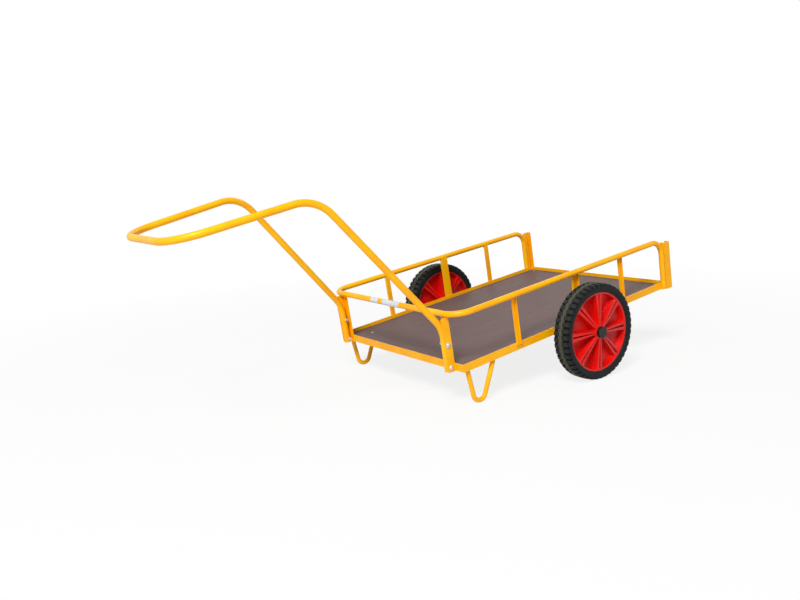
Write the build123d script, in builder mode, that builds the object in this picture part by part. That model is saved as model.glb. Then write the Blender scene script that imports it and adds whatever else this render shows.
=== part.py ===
from build123d import *
from math import acos, atan2, cos, degrees, hypot, pi, radians, sin, tan
import os

# A two-wheeled hand cart: a railed platform on a fixed axle, with a bent pull handle.
# Millimetres, +X towards the pull handle, +Y to the left, +Z up, floor at Z = 0.
# The cart stands on its two wheels and two front legs, with the deck nose down.
# Body sizes are given square to the deck: distance ahead of the axle, distance to
# the left, and height above the underside of the frame.

# Platform frame of rolled angle, lip up
bed_length = 1190.0
bed_width = 824.0
axle_to_front = 616.0
angle_leg = 30.0
angle_wall = 3.0

# Deck board
deck_thickness = 12.0
deck_gap = 1.5

# Flat bearers across the frame, under the deck
bearer_width = 40.0
bearer_thickness = 6.0
bearer_places = {"fore": 320.0, "aft": -300.0}

# Gap left for a weld between a tube and what it is welded to
weld_gap = 0.2

# Guard rail, one bent tube outside the frame
rail_diameter = 23.0
rail_wall = 2.0
rail_height = 221.0
rail_front_offset = 10.0
rail_rear_inset = 26.0
rail_corner_radius = 75.0
rail_drop_radius = 59.0
rail_foot = 3.0

# Side uprights, channels with the flanges outward: name, distance ahead of the axle, width
upright_depth = 10.0
upright_wall = 2.0
upright_lap = 8.0
upright_table = [
    ("fore", 336.0, 20.0),
    ("mid", -4.0, 36.0),
    ("aft", -280.0, 20.0),
]

# Front posts of angle that carry the handle
post_web = 34.0
post_flange = 40.0
post_wall = 3.0
post_corner = 8.0

# Rear channels that hold a tail board
rear_channel_web = 33.0
rear_channel_wall = 3.0
rear_channel_height = 209.0

# Pull handle, one bent tube
handle_diameter = 25.4
handle_wall = 2.0
handle_setback = 22.8
handle_inset = 62.0
handle_foot = 2.0
handle_low_corner = 169.0
handle_incline = 55.3
handle_high_corner = 1026.0
handle_droop = 4.9
handle_reach = 1511.0
handle_taper = 7.2
handle_low_radius = 117.0
handle_high_radius = 140.0
handle_nose_radius = 137.0

# Legs, round bar bent to a V and cut level under the frame
leg_diameter = 18.0
leg_fore = 587.0
leg_aft = 456.0
leg_corner = 563.0
leg_corner_drop = 204.0
leg_radius = 30.0
leg_inset = 16.0

# Axle: a square tube under the frame with a round spindle in each end
axle_beam = 30.0
axle_beam_wall = 5.0
spindle_socket = 90.0
spindle_tip = 0.5
collar_diameter = 34.0
collar_width = 8.0
washer_diameter = 30.0
washer_thickness = 2.5
nut_flats = 27.0
nut_height = 6.0
spindle_gap = 0.1

# Tyres: they run clear of the guard rail
wheel_diameter = 388.0
tyre_gap = 16.4
tyre_width = 77.0
tyre_height = 36.0
tyre_shoulder_drop = 6.0
bead_rise = 10.0
seat_gap = 0.3

# Lugs along both shoulders of the tyre
lug_count = 24
lug_share = 0.52
lug_reach = 20.0
lug_depth = 8.0
lug_step = 1.0
lug_root = 2.0

# Moulded rims
rim_width = 62.0
rim_flange_height = 5.0
rim_flange = 4.0
rim_barrel = 4.0
rim_web = 5.0
hub_diameter = 56.0
hub_length = 72.0
hub_recess_diameter = 41.6
hub_recess_depth = 11.0

# Paired ribs of the rim: each widens from the hub to the rim and slopes back towards it
spoke_count = 8
spoke_hub_half = 6.0
spoke_hub_gap = 2.0
spoke_hub_face = 34.5
spoke_rim_half = 17.0
spoke_rim_gap = 8.0
spoke_rim_face = 28.5
spoke_root = 2.0

# Plain bearing and hub cap
bush_wall = 4.0
running_gap = 0.05
end_gap = 0.4
cap_diameter = 46.0
cap_depth = 11.5
cap_wall = 2.2

wheel_radius = wheel_diameter / 2
axle_drop = axle_beam / 2
spindle_diameter = axle_beam - 2 * axle_beam_wall
half_width = bed_width / 2
bed_rear = axle_to_front - bed_length
rail_line = half_width + weld_gap + rail_diameter / 2
rail_front = axle_to_front + rail_front_offset
rail_rear = bed_rear + rail_rear_inset
handle_half_spread = half_width - handle_inset
channel_fore = rail_rear - rail_diameter / 2 - weld_gap
channel_middle = channel_fore - rear_channel_web / 2
channel_rear = channel_fore - rear_channel_web

os.makedirs("parts", exist_ok=True)


def leg_centre():
    # Centre of the bend at the foot, from the two arms that it rounds off
    corner = Vector(leg_corner, -leg_corner_drop)
    fore_arm = (Vector(leg_fore, 0) - corner).normalized()
    aft_arm = (Vector(leg_aft, 0) - corner).normalized()
    half_angle = radians(fore_arm.get_angle(aft_arm)) / 2
    return corner + (fore_arm + aft_arm).normalized() * (leg_radius / sin(half_angle))


def resting_pitch():
    # Nose-down angle at which the tyres and the legs touch the floor together
    centre = leg_centre()
    foot_radius = leg_radius + leg_diameter / 2
    drop = -centre.Y - axle_drop
    reach = hypot(drop, centre.X)
    return atan2(centre.X, drop) - acos((wheel_radius - foot_radius) / reach)


pitch = resting_pitch()
handle_rise = (handle_high_corner - axle_to_front - handle_setback) * tan(radians(handle_incline))
handle_top = handle_low_corner + handle_rise
nose_height = handle_top - (handle_reach - handle_high_corner) * tan(radians(handle_droop))

# The model's origin lies under the middle of its length
rearmost = channel_rear * cos(pitch)
foremost = handle_reach * cos(pitch) + nose_height * sin(pitch) + handle_diameter / 2
deck_x = -(rearmost + foremost) / 2
deck_z = wheel_radius + axle_drop * cos(pitch)
axle_x = deck_x - axle_drop * sin(pitch)

deck_frame = Plane(
    origin=(deck_x, 0, deck_z),
    x_dir=(cos(pitch), 0, -sin(pitch)),
    z_dir=(sin(pitch), 0, cos(pitch)),
)


def level(height):
    # Plan view at a height: ahead, left
    return deck_frame.offset(height)


def upright_plane(left):
    # Side view at a distance to the left: ahead, up
    origin = deck_frame.from_local_coords((0, left, 0))
    return Plane(origin=origin, x_dir=deck_frame.x_dir, z_dir=-deck_frame.y_dir)


def wheel_plane(left):
    # Side view through the axle, level with the floor
    return Plane(origin=(axle_x, left, wheel_radius), x_dir=(1, 0, 0), z_dir=(0, -1, 0))


def axle_section(turn):
    # Half section through the axle's line, turned about it: left, out from the line
    normal = (cos(radians(turn)), 0, -sin(radians(turn)))
    return Plane(origin=(axle_x, 0, wheel_radius), x_dir=(0, 1, 0), z_dir=normal)


axle_line = Axis((axle_x, 0, wheel_radius), (0, 1, 0))


def plan_corners(inset):
    # Corners of the platform's outline, moved inward
    return [
        (axle_to_front - inset, half_width - inset),
        (axle_to_front - inset, -half_width + inset),
        (bed_rear + inset, -half_width + inset),
        (bed_rear + inset, half_width - inset),
    ]


# Four mitred lengths of angle make the platform frame
for start, side in enumerate(["front", "right", "rear", "left"]):
    end = (start + 1) % 4
    with BuildPart() as frame_bar:
        for inset, height in [(angle_leg, angle_wall), (angle_wall, angle_leg)]:
            outer = plan_corners(0)
            inner = plan_corners(inset)
            with BuildSketch(level(0)):
                with BuildLine():
                    Polyline(outer[start], outer[end], inner[end], inner[start], close=True)
                make_face()
            extrude(amount=height)
    frame_bar.part.label = f"frame_{side}"
    export_step(frame_bar.part, f"parts/frame_{side}.step")

# The deck board lies inside the frame, on its flanges
deck_inset = angle_wall + deck_gap
with BuildPart() as deck_panel:
    with BuildSketch(level(angle_wall)):
        with BuildLine():
            Polyline(*plan_corners(deck_inset), close=True)
        make_face()
    extrude(amount=deck_thickness)
deck_panel.part.label = "deck_panel"
export_step(deck_panel.part, "parts/deck_panel.step")

# Bearers join the side flanges under the deck
for name, ahead in bearer_places.items():
    with BuildPart() as bearer:
        with BuildSketch(level(angle_wall)):
            with Locations((ahead, 0)):
                Rectangle(bearer_width, bed_width - 2 * angle_leg)
        extrude(amount=-bearer_thickness)
    bearer.part.label = f"bearer_{name}"
    export_step(bearer.part, f"parts/bearer_{name}.step")

# The guard rail runs outside the frame and drops to it at the rear
with BuildPart() as guard_rail:
    with BuildLine(deck_frame) as rail_route:
        FilletPolyline(
            (rail_rear, rail_line, rail_foot),
            (rail_rear, rail_line, rail_height),
            (rail_front, rail_line, rail_height),
            (rail_front, -rail_line, rail_height),
            (rail_rear, -rail_line, rail_height),
            (rail_rear, -rail_line, rail_foot),
            radius=[rail_drop_radius, rail_corner_radius, rail_corner_radius, rail_drop_radius],
        )
    with BuildSketch(Plane(origin=rail_route.line @ 0, z_dir=rail_route.line % 0)):
        Circle(rail_diameter / 2)
        Circle(rail_diameter / 2 - rail_wall, mode=Mode.SUBTRACT)
    sweep()
guard_rail.part.label = "guard_rail"
export_step(guard_rail.part, "parts/guard_rail.step")

# Uprights lap the outside of the frame and are coped to the guard rail
sides = {"left": 1, "right": -1}
for name, ahead, width in upright_table:
    for side, sign in sides.items():
        with BuildPart() as upright:
            with BuildSketch(level(angle_leg - upright_lap)):
                with Locations((ahead, sign * (half_width + upright_depth / 2))):
                    Rectangle(width, upright_depth)
                with Locations((ahead, sign * (half_width + upright_wall + upright_depth / 2))):
                    Rectangle(width - 2 * upright_wall, upright_depth, mode=Mode.SUBTRACT)
            extrude(amount=rail_height - angle_leg + upright_lap)
            rail_middle = deck_frame.from_local_coords((ahead, sign * rail_line, rail_height))
            with BuildSketch(Plane(origin=rail_middle, z_dir=deck_frame.x_dir)):
                Circle(rail_diameter / 2 + weld_gap)
            extrude(amount=width, both=True, mode=Mode.SUBTRACT)
        upright.part.label = f"upright_{name}_{side}"
        export_step(upright.part, f"parts/upright_{name}_{side}.step")

# Front posts: one leg of the angle lies on the frame, the other carries the handle
post_height = rail_height - rail_diameter / 2 - weld_gap
post_face = handle_half_spread + handle_diameter / 2 + weld_gap + post_wall
for side, sign in sides.items():
    with BuildPart() as post:
        with BuildSketch(upright_plane(sign * (post_face - post_wall / 2))):
            with Locations((axle_to_front + post_web / 2, post_height / 2)):
                Rectangle(post_web, post_height)
            fillet(vertices().group_by(Axis.X)[-1], radius=post_corner)
        extrude(amount=post_wall / 2, both=True)
        with BuildSketch(level(0)):
            with Locations((axle_to_front + post_wall / 2, sign * (post_face - post_flange / 2))):
                Rectangle(post_wall, post_flange)
        extrude(amount=post_height)
    post.part.label = f"post_{side}"
    export_step(post.part, f"parts/post_{side}.step")

# Rear channels lie against the frame's sides, behind the guard rail's feet, open inward
channel_flange = rail_diameter
channel_face = half_width + weld_gap + channel_flange
channel_slot = rear_channel_web - 2 * rear_channel_wall
for side, sign in sides.items():
    with BuildPart() as channel:
        with BuildSketch(level(0)):
            with Locations((channel_middle, sign * (channel_face - channel_flange / 2))):
                Rectangle(rear_channel_web, channel_flange)
            slot_left = channel_face - rear_channel_wall - channel_flange / 2
            with Locations((channel_middle, sign * slot_left)):
                Rectangle(channel_slot, channel_flange, mode=Mode.SUBTRACT)
        extrude(amount=rear_channel_height)
    channel.part.label = f"rear_channel_{side}"
    export_step(channel.part, f"parts/rear_channel_{side}.step")

# The pull handle narrows towards the grip
handle_start = axle_to_front + handle_setback


def handle_point(ahead, height, sign):
    narrowing = (ahead - handle_start) * tan(radians(handle_taper))
    return (ahead, sign * (handle_half_spread - narrowing), height)


left_arm = [
    handle_point(handle_start, handle_foot, 1),
    handle_point(handle_start, handle_low_corner, 1),
    handle_point(handle_high_corner, handle_top, 1),
    handle_point(handle_reach, nose_height, 1),
]
right_arm = [(ahead, -left, height) for ahead, left, height in reversed(left_arm)]
arm_radii = [handle_low_radius, handle_high_radius, handle_nose_radius]
with BuildPart() as handle:
    with BuildLine(deck_frame) as handle_route:
        FilletPolyline(*left_arm, *right_arm, radius=arm_radii + arm_radii[::-1])
    with BuildSketch(Plane(origin=handle_route.line @ 0, z_dir=handle_route.line % 0)):
        Circle(handle_diameter / 2)
        Circle(handle_diameter / 2 - handle_wall, mode=Mode.SUBTRACT)
    sweep()
handle.part.label = "handle"
export_step(handle.part, "parts/handle.step")

# Legs are bent bars; each arm is made long and cut off level with the frame's underside
for side, sign in sides.items():
    corner = Vector(leg_corner, -leg_corner_drop)
    leg_points = [(corner.X, corner.Y)]
    for end, top in enumerate((Vector(leg_fore, 0), Vector(leg_aft, 0))):
        overrun = top + (top - corner).normalized() * leg_diameter
        leg_points.insert(2 * end, (overrun.X, overrun.Y))
    with BuildPart() as leg:
        with BuildLine(upright_plane(sign * (half_width - leg_inset))) as leg_route:
            FilletPolyline(*leg_points, radius=leg_radius)
        with BuildSketch(Plane(origin=leg_route.line @ 0, z_dir=leg_route.line % 0)):
            Circle(leg_diameter / 2)
        sweep()
        split(bisect_by=level(0), keep=Keep.BOTTOM)
    leg.part.label = f"leg_{side}"
    export_step(leg.part, f"parts/leg_{side}.step")

# Axle beam, square with the frame
with BuildPart() as beam:
    with BuildSketch(upright_plane(0)):
        with Locations((0, -axle_drop)):
            Rectangle(axle_beam, axle_beam)
            Rectangle(spindle_diameter, spindle_diameter, mode=Mode.SUBTRACT)
    extrude(amount=half_width, both=True)
beam.part.label = "axle_beam"
export_step(beam.part, "parts/axle_beam.step")

wheel_middle = half_width + weld_gap + rail_diameter + tyre_gap + tyre_width / 2
hub_inner = wheel_middle - hub_length / 2
hub_outer = wheel_middle + hub_length / 2
bush_length = hub_length - hub_recess_depth
washer_start = hub_inner + bush_length + end_gap
nut_start = washer_start + washer_thickness
spindle_end = nut_start + nut_height + spindle_tip
spindle_start = half_width - spindle_socket
rim_radius = wheel_radius - tyre_height
barrel_outer = rim_radius - rim_flange_height
barrel_inner = barrel_outer - rim_barrel
hub_radius = hub_diameter / 2
bush_bore = spindle_diameter / 2 + running_gap
hub_bore = bush_bore + bush_wall
tyre_seat = barrel_outer + seat_gap
tyre_bead_half = rim_width / 2 - rim_flange - seat_gap
half_tread = tyre_width / 2
half_band = half_tread - lug_reach
lug_floor = wheel_radius - lug_depth
lug_pitch = 360 / lug_count
lug_length = lug_share * 2 * pi * wheel_radius / lug_count

for side, sign in sides.items():
    with BuildPart() as spindle:
        with BuildSketch(wheel_plane(sign * spindle_start)):
            Circle(spindle_diameter / 2)
        extrude(amount=-sign * (spindle_end - spindle_start))
    spindle.part.label = f"spindle_{side}"
    export_step(spindle.part, f"parts/spindle_{side}.step")

    with BuildPart() as collar:
        with BuildSketch(wheel_plane(sign * (hub_inner - end_gap))):
            Circle(collar_diameter / 2)
            Circle(spindle_diameter / 2 + spindle_gap, mode=Mode.SUBTRACT)
        extrude(amount=sign * collar_width)
    collar.part.label = f"collar_{side}"
    export_step(collar.part, f"parts/collar_{side}.step")

    with BuildPart() as washer:
        with BuildSketch(wheel_plane(sign * washer_start)):
            Circle(washer_diameter / 2)
            Circle(spindle_diameter / 2 + spindle_gap, mode=Mode.SUBTRACT)
        extrude(amount=-sign * washer_thickness)
    washer.part.label = f"washer_{side}"
    export_step(washer.part, f"parts/washer_{side}.step")

    with BuildPart() as nut:
        with BuildSketch(wheel_plane(sign * nut_start)):
            RegularPolygon(nut_flats / 2, 6, major_radius=False)
            Circle(spindle_diameter / 2 + spindle_gap, mode=Mode.SUBTRACT)
        extrude(amount=-sign * nut_height)
    nut.part.label = f"nut_{side}"
    export_step(nut.part, f"parts/nut_{side}.step")

    with BuildPart() as bush:
        with BuildSketch(wheel_plane(sign * hub_inner)):
            Circle(hub_bore)
            Circle(bush_bore, mode=Mode.SUBTRACT)
        extrude(amount=-sign * bush_length)
    bush.part.label = f"bush_{side}"
    export_step(bush.part, f"parts/bush_{side}.step")

    # Moulded rim: paired ribs first, then hub with a recess for the nut, web, barrel, flanges
    middle = sign * wheel_middle
    spoke_start = hub_radius - spoke_root
    spoke_end = barrel_inner + spoke_root
    with BuildPart() as rim:
        with BuildSketch(wheel_plane(middle)):
            with PolarLocations(0, spoke_count):
                for edge in (-1, 1):
                    Polygon(
                        (spoke_start, edge * spoke_hub_half),
                        (spoke_end, edge * spoke_rim_half),
                        (spoke_end, edge * spoke_rim_gap / 2),
                        (spoke_start, edge * spoke_hub_gap / 2),
                        align=None,
                    )
        extrude(amount=spoke_hub_face, both=True)
        with BuildSketch(axle_section(0)):
            for edge in (-1, 1):
                Polygon(
                    (middle + edge * spoke_hub_face, spoke_start),
                    (middle + edge * 2 * spoke_hub_face, spoke_start),
                    (middle + edge * 2 * spoke_hub_face, rim_radius),
                    (middle + edge * spoke_rim_face, rim_radius),
                    align=None,
                )
        revolve(axis=axle_line, mode=Mode.SUBTRACT)
        with BuildSketch(axle_section(0)):
            with Locations((middle, (hub_bore + hub_radius) / 2)):
                Rectangle(hub_length, hub_radius - hub_bore)
            with Locations((middle, (spoke_start + barrel_inner) / 2)):
                Rectangle(rim_web, barrel_inner - spoke_start)
            with Locations((middle, (barrel_inner + barrel_outer) / 2)):
                Rectangle(rim_width, rim_barrel)
            for edge in (-1, 1):
                Polygon(
                    (middle + edge * rim_width / 2, barrel_inner),
                    (middle + edge * rim_width / 2, rim_radius),
                    (middle + edge * (rim_width / 2 - rim_flange), barrel_outer),
                    (middle + edge * (rim_width / 2 - rim_flange), barrel_inner),
                    align=None,
                )
            with Locations((sign * (hub_outer - hub_recess_depth / 2), hub_recess_diameter / 4)):
                Rectangle(hub_recess_depth, hub_recess_diameter / 2, mode=Mode.SUBTRACT)
        revolve(axis=axle_line)
    rim.part.label = f"rim_{side}"
    export_step(rim.part, f"parts/rim_{side}.step")

    # Tyre: a carcass with a band round its middle, and lugs from the band to each shoulder
    with BuildPart() as tyre:
        with BuildSketch(axle_section(0)):
            with BuildLine():
                Polyline(
                    (middle - tyre_bead_half, tyre_seat),
                    (middle + tyre_bead_half, tyre_seat),
                    (middle + half_tread, rim_radius + bead_rise),
                    (middle + half_tread, lug_floor),
                    (middle + half_band, lug_floor),
                    (middle + half_band, wheel_radius),
                    (middle - half_band, wheel_radius),
                    (middle - half_band, lug_floor),
                    (middle - half_tread, lug_floor),
                    (middle - half_tread, rim_radius + bead_rise),
                    close=True,
                )
            make_face()
        revolve(axis=axle_line)
        for edge in (-1, 1):
            turns = [lug_pitch * (number + edge / 4) for number in range(lug_count)]
            with BuildSketch(*[axle_section(turn) for turn in turns]):
                Polygon(
                    (middle + edge * half_tread, lug_floor - lug_root),
                    (middle + edge * half_tread, wheel_radius - tyre_shoulder_drop),
                    (middle + edge * (half_band - lug_root), wheel_radius - lug_step),
                    (middle + edge * (half_band - lug_root), lug_floor - lug_root),
                    align=None,
                )
            extrude(amount=lug_length / 2, both=True)
    tyre.part.label = f"tyre_{side}"
    export_step(tyre.part, f"parts/tyre_{side}.step")

    # Hub cap over the nut
    with BuildPart() as cap:
        with BuildSketch(wheel_plane(sign * hub_outer)):
            Circle(cap_diameter / 2)
        extrude(amount=-sign * cap_depth)
        with BuildSketch(wheel_plane(sign * hub_outer)):
            Circle(cap_diameter / 2 - cap_wall)
        extrude(amount=-sign * (cap_depth - cap_wall), mode=Mode.SUBTRACT)
    cap.part.label = f"cap_{side}"
    export_step(cap.part, f"parts/cap_{side}.step")

print("resting pitch in degrees", round(degrees(pitch), 3))
print("axle at", round(axle_x, 3), wheel_radius, "deck frame at", round(deck_x, 3), round(deck_z, 3))
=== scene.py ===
# %% [markdown]
# # Hand cart: finishing the assembly in Blender
# The solid model gives a two-wheeled hand cart: an angle-iron platform with a guard rail,
# a bent pull handle, two V legs and two moulded wheels. This notebook loads it as a fixed
# frame, then adds what a person sees up close: tread blocks, rounded spokes, weld beads,
# bolts, screws and the finishes themselves. Everything is in metres.

# %% Load the frame
import bpy
from math import cos, degrees, pi, radians, sin
from mathutils import Matrix, Vector


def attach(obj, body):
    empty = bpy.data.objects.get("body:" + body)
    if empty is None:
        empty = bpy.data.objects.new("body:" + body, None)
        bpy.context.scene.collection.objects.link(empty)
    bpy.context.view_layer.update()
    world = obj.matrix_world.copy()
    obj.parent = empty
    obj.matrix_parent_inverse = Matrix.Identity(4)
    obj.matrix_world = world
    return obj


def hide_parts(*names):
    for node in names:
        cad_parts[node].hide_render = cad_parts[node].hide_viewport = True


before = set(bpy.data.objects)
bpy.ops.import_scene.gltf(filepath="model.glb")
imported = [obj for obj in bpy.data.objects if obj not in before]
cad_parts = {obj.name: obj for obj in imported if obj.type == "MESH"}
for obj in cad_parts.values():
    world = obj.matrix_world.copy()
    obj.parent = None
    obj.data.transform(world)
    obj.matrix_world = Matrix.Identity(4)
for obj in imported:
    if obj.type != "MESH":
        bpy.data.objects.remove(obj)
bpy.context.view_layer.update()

# %% [markdown]
# ## One tilted workplace
# The cart rests on its tyres and its front legs, so the platform leans a little nose down.
# Screws and welds are far easier to place square to the platform, so one matrix carries
# "ahead of the axle, to the left, above the underside of the frame" into the world.

# %% The platform's own axes
PITCH = radians(7.01045)
DECK = Matrix.Translation((-0.503968, 0, 0.208888)) @ Matrix.Rotation(PITCH, 4, "Y")
BED_FRONT, BED_REAR, HALF_WIDTH = 0.616, -0.574, 0.412
AXLE_X = -0.505799
WHEEL_RADIUS = 0.194
WHEEL_MIDDLE = 0.4901
SIDES = {"left": 1, "right": -1}
print("platform leans", round(degrees(PITCH), 2), "degrees")

# %% [markdown]
# ## Small helpers for modelling by hand
# Every Blender operator works on what is selected, and the loaded solids are selected to
# begin with. So each piece starts from nothing selected, from a primitive of its own.


# %% Starting a piece
def clean_slate():
    active = bpy.context.view_layer.objects.active
    if active and active.mode != "OBJECT":
        bpy.ops.object.mode_set(mode="OBJECT")
    bpy.ops.object.select_all(action="DESELECT")


def start(kind, **settings):
    clean_slate()
    getattr(bpy.ops.mesh, f"primitive_{kind}_add")(**settings)
    return bpy.context.view_layer.objects.active


def only(piece):
    clean_slate()
    piece.select_set(True)
    bpy.context.view_layer.objects.active = piece


clean_slate()
print("selected now", len(bpy.context.selected_objects))

# %% [markdown]
# In the window one clicks on the faces to shape. A script finds them by where they are or
# which way they look: `pick` goes through all faces, edges or points of a piece, asks a
# small test about each, and stays in edit mode with the ones that passed.


# %% Picking by place
def pick(piece, test, kind="FACE"):
    only(piece)
    bpy.ops.object.mode_set(mode="EDIT")
    bpy.ops.mesh.select_mode(type=kind)
    bpy.ops.mesh.select_all(action="DESELECT")
    bpy.ops.object.mode_set(mode="OBJECT")
    mesh = piece.data
    parts = {"FACE": mesh.polygons, "EDGE": mesh.edges, "VERT": mesh.vertices}[kind]
    for part in parts:
        if kind == "FACE":
            place = part.center
        elif kind == "VERT":
            place = part.co
        else:
            place = (mesh.vertices[part.vertices[0]].co + mesh.vertices[part.vertices[1]].co) / 2
        part.select = bool(test(place, part))
    bpy.ops.object.mode_set(mode="EDIT")


def move(by):
    bpy.ops.transform.translate(value=by)


def push_out(by):
    bpy.ops.mesh.extrude_region_move(TRANSFORM_OT_translate={"value": by})


def leave_edit():
    bpy.ops.object.mode_set(mode="OBJECT")


print("edit tools:", move.__name__, push_out.__name__, leave_edit.__name__)

# %% [markdown]
# Modifiers are applied at once, so that what one sees is the mesh itself. A placement is
# baked into the mesh too, which leaves the object at the origin, unturned and unscaled.


# %% Modifying and settling
def modify(piece, kind, **settings):
    only(piece)
    step = piece.modifiers.new(kind.title(), kind)
    for name, value in settings.items():
        setattr(step, name, value)
    bpy.ops.object.modifier_apply(modifier=step.name)


def settle(piece, placement=Matrix.Identity(4)):
    only(piece)
    piece.matrix_world = placement @ piece.matrix_world
    bpy.ops.object.transform_apply(location=True, rotation=True, scale=True)


def smooth(piece, angle):
    only(piece)
    bpy.ops.object.shade_smooth_by_angle(angle=radians(angle))


print("finishing tools:", modify.__name__, settle.__name__, smooth.__name__)

# %% [markdown]
# ## Writing a shader like a sum
# A finish is mostly arithmetic on noise: a bit of dust here, a little wear there. Instead of
# wiring each Math node by hand, a small class wraps a socket, so that `1 - mask * 0.3`
# builds the nodes. One method adds any other node with its settings and inputs.


# %% The socket class
class Wire:
    def __init__(self, tree, socket):
        self.tree = tree
        self.socket = socket

    def math(self, operation, first, second):
        made = self.tree.nodes.new("ShaderNodeMath")
        made.operation = operation
        for place, value in enumerate((first, second)):
            if isinstance(value, Wire):
                self.tree.links.new(value.socket, made.inputs[place])
            else:
                made.inputs[place].default_value = value
        return Wire(self.tree, made.outputs[0])

    def __add__(self, other):
        return self.math("ADD", self, other)

    def __radd__(self, other):
        return self.math("ADD", other, self)

    def __sub__(self, other):
        return self.math("SUBTRACT", self, other)

    def __rsub__(self, other):
        return self.math("SUBTRACT", other, self)

    def __mul__(self, other):
        return self.math("MULTIPLY", self, other)

    def __rmul__(self, other):
        return self.math("MULTIPLY", other, self)

    def __abs__(self):
        return self.math("ABSOLUTE", self, 0)

    def node(self, kind, settings=None, output=0, **inputs):
        made = self.tree.nodes.new(kind)
        for name, value in (settings or {}).items():
            setattr(made, name, value)
        for name, value in inputs.items():
            numbered = name[0] == "i" and name[1:].isdigit()
            spot = int(name[1:]) if numbered else name.replace("_", " ")
            if isinstance(value, Wire):
                self.tree.links.new(value.socket, made.inputs[spot])
            else:
                made.inputs[spot].default_value = value
        return Wire(self.tree, made.outputs[output])


print("sums a wire can do: + - * and abs")

# %% [markdown]
# ## Colours as they are read off a paint card
# Paint cards and screens give colours from 0 to 255 on a curve. Blender's shaders want
# light itself, so one function straightens that curve.


# %% Colour helper
def card(red, green, blue):
    def straight(part):
        part = part / 255
        return part / 12.92 if part <= 0.04045 else ((part + 0.055) / 1.055) ** 2.4
    return (straight(red), straight(green), straight(blue), 1.0)


print("mid grey is", round(card(128, 128, 128)[0], 3), "as light")

# %% [markdown]
# Every finish is a material with one Principled shader. Its patterns read the object's own
# coordinates, in metres, so that a pattern has one scale on all pieces and doesn't slide.


# %% A blank finish
def new_finish(name):
    finish = bpy.data.materials.new(name)
    finish.use_nodes = True
    tree = finish.node_tree
    tree.nodes.clear()
    shader = tree.nodes.new("ShaderNodeBsdfPrincipled")
    output = tree.nodes.new("ShaderNodeOutputMaterial")
    tree.links.new(shader.outputs[0], output.inputs[0])
    coordinates = tree.nodes.new("ShaderNodeTexCoord")
    place = Wire(tree, coordinates.outputs["Object"])
    return finish, shader, place


def plug(shader, name, wire):
    wire.tree.links.new(wire.socket, shader.inputs[name])


print("a finish has", new_finish.__name__, "and", plug.__name__)

# %% [markdown]
# Four patterns do nearly all of the work: layered noise, a part of its range stretched from
# nothing to full, a blend of two colours by such a mask, and a height turned into bumps.


# %% Patterns
def noise(place, scale, detail=3.0, roughness=0.5):
    settings = {"noise_dimensions": "3D"}
    return place.node("ShaderNodeTexNoise", settings, Vector=place, Scale=scale,
                      Detail=detail, Roughness=roughness)


def between(value, low, high):
    return value.node("ShaderNodeMapRange", {"clamp": True}, i0=value, i1=low, i2=high)


def blend_colours(factor, first, second):
    settings = {"data_type": "RGBA", "blend_type": "MIX"}
    return factor.node("ShaderNodeMix", settings, output=2, i0=factor, i6=first, i7=second)


def bumped(height, strength, distance):
    return height.node("ShaderNodeBump", None, Strength=strength, Distance=distance, Height=height)


print("patterns:", noise.__name__, between.__name__, blend_colours.__name__, bumped.__name__)

# %% [markdown]
# ## Powder coat
# The steel is sprayed with warm yellow powder and baked. It melts into a fine orange peel,
# pools slightly richer in some places than others, and goes a touch duller where hands and
# loads rub. A layered noise drives all three, and a second, finer noise lifts the surface
# by a few hundredths of a millimetre.


# %% Yellow powder coat
def powder_coat(name, rich, pale):
    finish, shader, place = new_finish(name)
    pool = between(noise(place, 9.0, 4.0), 0.35, 0.68)
    peel = noise(place, 620.0, 2.0)
    rub = between(noise(place, 38.0, 5.0, 0.6), 0.56, 0.72)
    colour = blend_colours(pool, rich, pale)
    plug(shader, "Base Color", blend_colours(rub * 0.08, colour, card(255, 196, 70)))
    plug(shader, "Roughness", 0.33 + pool * 0.08 + rub * 0.12)
    plug(shader, "Normal", bumped(peel + rub * 0.2, 0.12, 0.00006))
    shader.inputs["Specular IOR Level"].default_value = 0.2
    shader.inputs["Coat Weight"].default_value = 0.06
    shader.inputs["Coat Roughness"].default_value = 0.2
    return finish


yellow_paint = powder_coat("yellow_powder_coat", card(250, 170, 0), card(254, 186, 0))
print("powder coat nodes", len(yellow_paint.node_tree.nodes))

# %% [markdown]
# ## Film-faced board
# The platform board is plywood with a brown resin film pressed onto it through a fine wire
# mesh, which leaves a grid that feet grip. Seen from a step away it is a warm grey-brown
# with cloudy patches and a few pale scuffs drawn slantwise over it.


# %% Resin film
def resin_film():
    finish, shader, place = new_finish("resin_film_board")
    turned = place.node("ShaderNodeMapping", {"vector_type": "POINT"}, Vector=place,
                        Rotation=(0, -PITCH, 0))
    cloud = between(noise(turned, 5.0, 5.0, 0.6), 0.3, 0.72)
    speck = between(noise(turned, 420.0, 2.0), 0.62, 0.74)
    drawn = turned.node("ShaderNodeMapping", {"vector_type": "POINT"}, Vector=turned,
                        Rotation=(0, 0, radians(40)), Scale=(2.5, 40, 1))
    scuff = between(noise(drawn, 3.0, 6.0, 0.6), 0.60, 0.74)
    along = turned.node("ShaderNodeTexWave", {"bands_direction": "X"}, Vector=turned, Scale=95.0)
    across = turned.node("ShaderNodeTexWave", {"bands_direction": "Y"}, Vector=turned, Scale=95.0)
    mesh = along * across
    colour = blend_colours(cloud, card(94, 77, 75), card(109, 90, 87))
    colour = blend_colours(speck * 0.35, colour, card(134, 117, 112))
    plug(shader, "Base Color", blend_colours(scuff * 0.45, colour, card(146, 130, 124)))
    plug(shader, "Roughness", 0.5 + cloud * 0.12 - scuff * 0.08)
    plug(shader, "Normal", bumped(mesh + speck * 0.4, 0.35, 0.00025))
    shader.inputs["Specular IOR Level"].default_value = 0.12
    return finish


deck_film = resin_film()
print("board nodes", len(deck_film.node_tree.nodes))

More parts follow.
